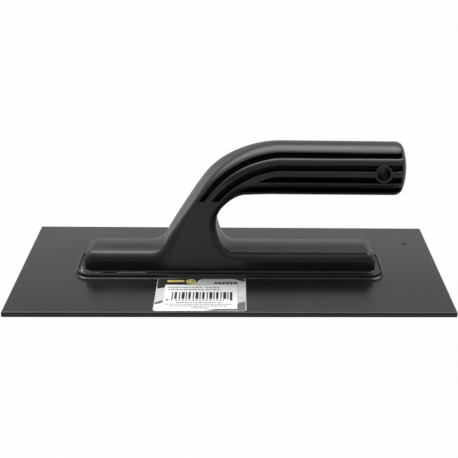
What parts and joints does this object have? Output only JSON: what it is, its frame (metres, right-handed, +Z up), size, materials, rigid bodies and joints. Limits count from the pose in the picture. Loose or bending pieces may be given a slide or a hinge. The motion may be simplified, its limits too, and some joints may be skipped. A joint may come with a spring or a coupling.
{
  "type": "plastic hand float",
  "caption": "Flat rectangular plastering float with an open-ended D handle in two hollow halves, slotted grip, hanging hole and a raised rim around the glued handle foot.",
  "frame": {"origin": "centre of the blade's underside, on the working face", "axes": "+X along the blade towards the grip's free end, +Y across the blade away from the labelled side, +Z up out of the working face's back"},
  "size_m": [0.27, 0.13, 0.0882],
  "materials": {
    "blade_plastic": "satin black moulding",
    "handle_plastic": "satin black moulding with bright rounded edges",
    "adhesive": "cured, slightly milky glue",
    "label_film": "printed self-adhesive film"
  },
  "bodies": {
    "root": {"blade": "blade_plastic", "adhesive_bead": "adhesive", "handle_near_shell": "handle_plastic", "handle_far_shell": "handle_plastic", "label": "label_film"}
  },
  "joints": []
}
